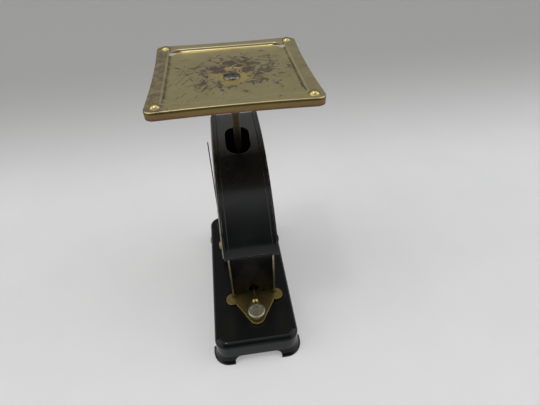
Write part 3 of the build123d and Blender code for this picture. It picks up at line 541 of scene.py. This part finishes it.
def make_tray():
    edge = tray_outline()
    rings = [(shrunk(edge, inset), z) for inset, z in SKIRT_RINGS]
    rim, lip = rings[-1][0], well_outline(*LIP_RINGS[0][:2])
    rings += [(between(rim, lip, share), 0.0) for share in BORDER_SHARES]
    rings += [(well_outline(grow, share), z) for grow, share, z in LIP_RINGS]
    wall_start = len(rings) - 1
    rings += [(well_outline(grow, share), z) for grow, share, z in WALL_RINGS]
    wall_end = len(rings) - 1
    rings += [(well_outline(grow, share), z) for grow, share, z in FLOOR_RINGS]
    floor, dimple = rings[-1][0], round_screw(edge, DIMPLE_RINGS[0][0])
    rings += [(between(floor, dimple, share), -TRAY_SUNK) for share in FLOOR_SHARES]
    rings += [(round_screw(edge, radius), z) for radius, z in DIMPLE_RINGS]
    count = len(edge)
    points = [(p.x + TRAY_CENTRE[0], p.y + TRAY_CENTRE[1], z + TRAY_CENTRE[2])
              for outline, z in rings for p in outline]
    faces = []
    for r in range(len(rings) - 1):
        for i in range(count):
            in_corner = i % (SIDE_STEPS + CORNER_STEPS) >= SIDE_STEPS
            if in_corner and wall_start <= r < wall_end:
                continue
            after = (i + 1) % count
            faces.append((r * count + i, r * count + after, (r + 1) * count + after, (r + 1) * count + i))
    shell = mesh_from(points, faces)
    face_up = sum(face.normal.z * face.area for face in shell.polygons) > 0
    holder = bpy.data.objects.new("tray_shell", shell)
    wall = holder.modifiers.new("sheet", "SOLIDIFY")
    wall.thickness = SHEET * MM
    wall.offset = -1.0 if face_up else 1.0
    mesh = plain_mesh(holder)
    piece = place_piece("pressed_tray", mesh, "tray_carrier", brass_tray, TRAY_CREASE)
    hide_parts("tray")


# Corner pips: raised with a punch from below, with a soft root. Pairs of radius and height.
PIP_PROFILE = ((0.0, -0.3), (3.5, -0.3), (3.7, -0.06), (3.35, 0.06), (3.0, 0.38), (2.6, 0.86), (2.1, 1.28),
               (1.5, 1.6), (0.8, 1.83), (0.0, 1.9))
PIP_ACROSS, PIP_ALONG = TRAY_HALF_WIDTH - PIP_INSET, TRAY_HALF_DEPTH - PIP_INSET
PIP_STEPS = 28


def make_pips():
    points, faces = [], []
    for side, end in ((-1, -1), (1, -1), (1, 1), (-1, 1)):
        centre = Vector(TRAY_CENTRE) + Vector((side * PIP_ACROSS, end * PIP_ALONG, 0))
        first = len(points)
        for radius, rise in PIP_PROFILE:
            for k in range(PIP_STEPS):
                a = 2 * math.pi * k / PIP_STEPS
                points.append((centre.x + radius * math.cos(a), centre.y + radius * math.sin(a),
                               centre.z + rise))
        for j in range(len(PIP_PROFILE) - 1):
            for k in range(PIP_STEPS):
                here, after = first + j * PIP_STEPS + k, first + j * PIP_STEPS + (k + 1) % PIP_STEPS
                faces.append((here, after, after + PIP_STEPS, here + PIP_STEPS))
    place_piece("tray_pips", mesh_from(points, faces), "tray_carrier", brass_tray)


# The turned-over flange of each casing side, which laps the edge of the curved strip. The section's pairs are
# a place across the casing and a height over the strip.
FLANGE_SECTION = ((16.35, 0.0), (13.7, 0.0), (13.7, 0.28), (13.95, 0.5), (14.4, 0.56), (16.35, 0.56))
ARC_STEP = 2.0
REAR_SHARES = (0.25, 0.5, 0.75, 1.0)


def casing_path():
    """Points of the casing's outline with their outward directions, from the front lip to the back foot."""
    path = []
    for centre, radius, start, end in ((NOSE_CENTRE, NOSE_RADIUS, LIP_ANGLE, NOSE_ANGLE),
                                       (FAN_CENTRE, FAN_RADIUS, NOSE_ANGLE, TOP_ANGLE),
                                       (REAR_CENTRE, REAR_RADIUS, TOP_ANGLE, -REAR_TILT)):
        steps = int(abs(start - end) / ARC_STEP)
        for i in range(steps + 1):
            a = math.radians(start + (end - start) * i / steps)
            out = Vector((math.cos(a), math.sin(a)))
            path.append((Vector(centre) + out * radius, out))
    heel, out = path[-1]
    tilt = math.radians(REAR_TILT)
    foot = heel + Vector((-math.sin(tilt), -math.cos(tilt))) * ((heel.y - FAN_FOOT) / math.cos(tilt))
    return path + [(heel.lerp(foot, share), out) for share in REAR_SHARES]


def make_flange(name, sign):
    path = casing_path()
    width = len(FLANGE_SECTION)
    points = [(sign * x, place.x + out.x * lift, place.y + out.y * lift)
              for place, out in path for x, lift in FLANGE_SECTION]
    last = (len(path) - 1) * width
    faces = []
    for row in range(0, last, width):
        for k in range(width):
            after = (k + 1) % width
            faces.append((row + k, row + after, row + width + after, row + width + k))
    faces += [tuple(range(width)), tuple(range(last, last + width))]
    place_piece(name, mesh_from(points, faces), "stand", black_lapped)


BAR_INPUTS = (("Radius", "Float"), ("Start", "Float"), ("Sweep", "Float"), ("Count", "Int"), ("Bar", "Vector"),
              ("Finish", "Material"))
ARC_POINTS = 256


def bars_on_arc_tree():
    """Geometry Nodes: a row of small bars set across an arc. A bar's sizes go outwards, upwards and along."""
    tree = bpy.data.node_groups.new("bars_on_arc", "GeometryNodeTree")
    for name, kind in BAR_INPUTS:
        tree.interface.new_socket(name, in_out="INPUT", socket_type="NodeSocket" + kind)
    tree.interface.new_socket("Geometry", in_out="OUTPUT", socket_type="NodeSocketGeometry")
    ins = node(tree, "NodeGroupInput").outputs
    arc = node(tree, "GeometryNodeCurveArc", {"Resolution": ARC_POINTS},
               {"Radius": ins["Radius"], "Start Angle": ins["Start"], "Sweep Angle": ins["Sweep"]})
    stations = node(tree, "GeometryNodeCurveToPoints", {"mode": "COUNT"}, {"Curve": arc, "Count": ins["Count"]})
    bar = node(tree, "GeometryNodeMeshCube", links={"Size": ins["Bar"]})
    spread = node(tree, "GeometryNodeInstanceOnPoints", links={
        "Points": stations, "Instance": bar, "Rotation": stations.outputs["Rotation"]})
    real = node(tree, "GeometryNodeRealizeInstances", links={0: spread})
    done = node(tree, "GeometryNodeSetMaterial", links={"Geometry": real, "Material": ins["Finish"]})
    node(tree, "NodeGroupOutput", links={0: done})
    return tree


def bars_on_arc(tree, matrix, **sizes):
    """Runs the tree with the sizes given and returns a plain mesh, put in place by the matrix."""
    carrier = bpy.data.objects.new("bars", bpy.data.meshes.new("bars"))
    run = carrier.modifiers.new("bars", "NODES")
    run.node_group = tree
    for item in tree.interface.items_tree:
        if item.in_out == "INPUT":
            run[item.identifier] = sizes[item.name]
    mesh = plain_mesh(carrier)
    mesh.transform(matrix)
    return mesh


def joined(meshes):
    """Several meshes as one."""
    work = bmesh.new()
    for mesh in meshes:
        work.from_mesh(mesh)
    whole = bpy.data.meshes.new("joined")
    work.to_mesh(whole)
    work.free()
    return whole


# The dial: two scales printed round the pointer's arbor, read where the pointer's tip passes.
INK = 0.06
OUTER_RADIUS, INNER_RADIUS = 74.5, 60.0
# Rows of marks: their radius, how many, their length and their width.
DIAL_MARKS = ((OUTER_RADIUS, 65, 2.2, 0.3), (OUTER_RADIUS + 0.6, 17, 3.4, 0.45),
              (INNER_RADIUS, 91, 1.6, 0.25), (INNER_RADIUS + 0.5, 19, 2.6, 0.35))
# Lines along the marks: radius and width.
DIAL_LINES = ((OUTER_RADIUS - 1.1, 0.4), (INNER_RADIUS - 0.8, 0.3))
# Rows of numbers: the last one, the step between them, their height and their radius.
DIAL_NUMBERS = ((16, 2, 5.4, OUTER_RADIUS - 5.4), (450, 50, 3.4, INNER_RADIUS - 3.6))
DIAL_TURN = Matrix(((0, 0, -1, -DIAL_FACE * MM), (-1, 0, 0, PIVOT[0] * MM), (0, 1, 0, PIVOT[1] * MM),
                    (0, 0, 0, 1)))
DIAL_TOP, DIAL_LOW = math.radians(90), math.radians(90 - SWEEP)
LINE_STEPS = 90
FIGURE_CURVES = 4


def dial_number(text, size, radius, angle):
    curve = bpy.data.curves.new("number", "FONT")
    curve.body = text
    curve.size = size * MM
    curve.align_x, curve.align_y = "CENTER", "CENTER"
    curve.extrude = INK / 2 * MM
    curve.resolution_u = FIGURE_CURVES
    mesh = plain_mesh(bpy.data.objects.new("number", curve))
    lean = Matrix.Rotation(angle - math.pi / 2, 4, "Z")
    spot = Matrix.Translation((radius * MM * math.cos(angle), radius * MM * math.sin(angle), INK / 2 * MM))
    mesh.transform(DIAL_TURN @ spot @ lean)
    return mesh


def arc_line(radius, width):
    """A thin printed line along the whole scale."""
    points, faces = [], []
    for i in range(LINE_STEPS + 1):
        a = DIAL_LOW + (DIAL_TOP - DIAL_LOW) * i / LINE_STEPS
        for r in (radius - width / 2, radius + width / 2):
            points += [(r * math.cos(a), r * math.sin(a), z) for z in (0.0, INK)]
    for b in range(0, 4 * LINE_STEPS, 4):
        n = b + 4
        faces += [(b, n, n + 1, b + 1), (b + 1, n + 1, n + 3, b + 3), (b + 3, n + 3, n + 2, b + 2),
                  (b + 2, n + 2, n, b)]
    end = 4 * LINE_STEPS
    faces += [(0, 1, 3, 2), (end, end + 2, end + 3, end + 1)]
    mesh = mesh_from(points, faces)
    mesh.transform(DIAL_TURN)
    return mesh


def make_dial(tree):
    lift = DIAL_TURN @ Matrix.Translation((0, 0, INK / 2 * MM))
    printed = []
    for radius, count, length, width in DIAL_MARKS:
        printed.append(bars_on_arc(tree, lift, Finish=tin_ink, Radius=radius * MM, Start=DIAL_LOW,
                                   Sweep=DIAL_TOP - DIAL_LOW, Count=count,
                                   Bar=(length * MM, INK * MM, width * MM)))
    for radius, width in DIAL_LINES:
        printed.append(arc_line(radius, width))
    place_piece("dial_graduations", joined(printed), "stand", tin_ink)
    numbers = []
    for last, step, size, radius in DIAL_NUMBERS:
        for value in range(0, last + 1, step):
            angle = DIAL_TOP + (DIAL_LOW - DIAL_TOP) * value / last
            numbers.append(dial_number(str(value), size, radius, angle))
    place_piece("dial_numbers", joined(numbers), "stand", tin_ink)


def make_spring():
    """The return spring as one fixed piece, doubles merged: its coil stays by the front plate."""
    work = bmesh.new()
    work.from_mesh(frame["nodes"]["return_spring"].data)
    bmesh.ops.remove_doubles(work, verts=work.verts, dist=DOUBLES * MM)
    mesh = bpy.data.meshes.new("made")
    work.to_mesh(mesh)
    work.free()
    stretch = [Vector(place) * MM for place in (SPRING_COIL_END, SPRING_EYE)]
    spring = place_piece("return_spring_coil", mesh, "lever", steel_oiled, stretch=stretch)
    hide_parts("return_spring")


KNURL_COUNT = 48
KNURL_BAR = (0.36, 2.3, 0.38)


def make_knurl(tree):
    """Fine straight knurl round the thumbscrew's head."""
    seat = Matrix.Translation(Vector(THUMB_PLACE) * MM)
    sweep = math.radians(360 * (KNURL_COUNT - 1) / KNURL_COUNT)
    mesh = bars_on_arc(tree, seat, Finish=steel_dull, Radius=THUMB_RADIUS * MM, Start=0.0, Sweep=sweep,
                       Count=KNURL_COUNT, Bar=tuple(size * MM for size in KNURL_BAR))
    place_piece("thumbscrew_knurl", mesh, "thumbscrew", steel_dull)


make_tray()
make_pips()
make_flange("casing_flange_left", -1)
make_flange("casing_flange_right", 1)
bars = bars_on_arc_tree()
make_dial(bars)
make_spring()
make_knurl(bars)


# The stage: a pale sheet of matt paper that runs flat under the scale and sweeps up behind it, darkened towards
# the back with painted shade. Sizes are in metres. A share of what the camera and the shiny pieces see of it is
# its plain colour as a glow, which lightens the shadows on it.
FLOOR_HALF = 2.4
FLOOR_FRONT = -2.0
SWEEP_START = 0.2
SWEEP_RADIUS = 0.5
WALL_TOP = 1.6
SWEEP_STEPS = 32
DARKER_FROM, DARKER_TO = 0.12, 0.42
GLOW_SHARE, GLOW_LEVEL = 0.4, 0.9


def make_stage():
    profile = [(FLOOR_FRONT, 0.0)]
    for i in range(SWEEP_STEPS + 1):
        a = math.pi / 2 * i / SWEEP_STEPS
        profile.append((SWEEP_START + SWEEP_RADIUS * math.sin(a), SWEEP_RADIUS * (1 - math.cos(a))))
    profile.append((SWEEP_START + SWEEP_RADIUS, WALL_TOP))
    points = [(x, y, z) for x in (-FLOOR_HALF, FLOOR_HALF) for y, z in profile]
    count = len(profile)
    mesh = bpy.data.meshes.new("studio_sheet")
    mesh.from_pydata(points, [], [(i, count + i, count + i + 1, i + 1) for i in range(count - 1)])
    for face in mesh.polygons:
        face.use_smooth = True
    made, add, place = new_material("studio_paper")
    depth = add("ShaderNodeSeparateXYZ", links={0: place}).outputs[1]
    cloud = add("ShaderNodeTexNoise", patches(60.0), {"Vector": place})
    tone = add("ShaderNodeValToRGB", {"stops": [(0.3, "#dbdbdc"), (0.7, "#dedede")]}, {0: cloud})
    # Painted shade, growing towards the back.
    darker = mask(add, (depth, DARKER_FROM, DARKER_TO), how="SMOOTHSTEP")
    tone = laid_over(add, tone, (darker, "#a6a6a5"))
    matt = add("ShaderNodeBsdfPrincipled", {"Roughness": 0.9, "Specular IOR Level": 0.1}, {"Base Color": tone})
    glow = add("ShaderNodeEmission", {"Strength": GLOW_LEVEL}, {"Color": tone})
    ray = add("ShaderNodeLightPath").outputs
    seen = ray["Is Camera Ray"]
    for other in ("Is Glossy Ray", "Is Transmission Ray"):
        seen = add("ShaderNodeMath", {"operation": "MAXIMUM"}, {0: seen, 1: ray[other]})
    share = add("ShaderNodeMath", {"operation": "MULTIPLY", 1: GLOW_SHARE}, {0: seen})
    shader = add("ShaderNodeMixShader", links={0: share, 1: matt, 2: glow})
    add("ShaderNodeOutputMaterial", links={"Surface": shader})
    mesh.materials.append(made)
    sheet = bpy.data.objects.new("studio_sheet", mesh)
    bpy.context.scene.collection.objects.link(sheet)


# One small lamp high up on the left, which puts glints on the metal. Places are in metres.
GLINT_PLACE, GLINT_AIM = (-0.25, -0.1, 1.5), (0.0, 0.0, 0.1)
GLINT_SIZE, GLINT_POWER = 0.14, 2.2


def add_lamp(name, place, aim, size, power):
    lamp = bpy.data.lights.new(name, "AREA")
    lamp.shape = "SQUARE"
    lamp.size = size
    lamp.energy = power
    holder = bpy.data.objects.new(name, lamp)
    holder.location = place
    holder.rotation_euler = (Vector(aim) - Vector(place)).to_track_quat("-Z", "Y").to_euler()
    bpy.context.scene.collection.objects.link(holder)


make_stage()
add_lamp("glint_lamp", GLINT_PLACE, GLINT_AIM, GLINT_SIZE, GLINT_POWER)

# The room: a pale ceiling overhead and behind, bright walls left and right, and a dim side in front. Where the
# camera looks past the paper it sees a plain pale grey. The ceiling goes by height, the walls by how far to a
# side and the shade by how far behind: where each starts and ends, and how strong it is at both.
CEILING, SIDE_WALLS, SHADE = (0.3, 1.0, 0.86, 1.4), (0.4, 0.85, 0.0, 1.2), (-0.75, -0.05, 0.1, 1.0)
BACKDROP_LEVEL = 0.66
world = bpy.data.worlds.new("studio_room")
bpy.context.scene.world = world
world.use_nodes = True
world.node_tree.nodes.clear()
add = partial(node, world.node_tree)
skyward = add("ShaderNodeTexCoord").outputs["Generated"]
across, behind, upward = add("ShaderNodeSeparateXYZ", links={0: skyward}).outputs
across = add("ShaderNodeMath", {"operation": "ABSOLUTE"}, {0: across})
ceiling = mask(add, (upward, *CEILING))
sides = mask(add, (across, *SIDE_WALLS), how="SMOOTHSTEP")
shade = mask(add, (behind, *SHADE), how="SMOOTHSTEP")
level = add("ShaderNodeMath", {"operation": "MULTIPLY"}, {0: ceiling, 1: shade})
level = add("ShaderNodeMath", {"operation": "ADD"}, {0: level, 1: sides})
seen = add("ShaderNodeLightPath").outputs["Is Camera Ray"]
level = add("ShaderNodeMix", {PLAIN_OVER: BACKDROP_LEVEL}, {0: seen, PLAIN_UNDER: level})
glow = add("ShaderNodeBackground", {"Color": (1.0, 1.0, 1.0, 1.0)}, {"Strength": level})
add("ShaderNodeOutputWorld", links={"Surface": glow})

camera = bpy.data.cameras.new("photo_camera")
camera.sensor_fit = "HORIZONTAL"
camera.sensor_width = SENSOR
camera.lens = SENSOR * CAMERA_FOCUS / PICTURE_WIDTH
camera.clip_start = CAMERA_CLIP * MM
stand = bpy.data.objects.new("photo_camera", camera)
turn = Matrix.Rotation(math.radians(-CAMERA_YAW), 4, "Z")
turn = turn @ Matrix.Rotation(math.radians(90 - CAMERA_PITCH), 4, "X")
turn = turn @ Matrix.Rotation(math.radians(-CAMERA_ROLL), 4, "Z")
stand.matrix_world = Matrix.Translation(Vector(CAMERA_PLACE) * MM) @ turn
bpy.context.scene.collection.objects.link(stand)
bpy.context.scene.camera = stand
bpy.context.scene.view_settings.view_transform = "Standard"
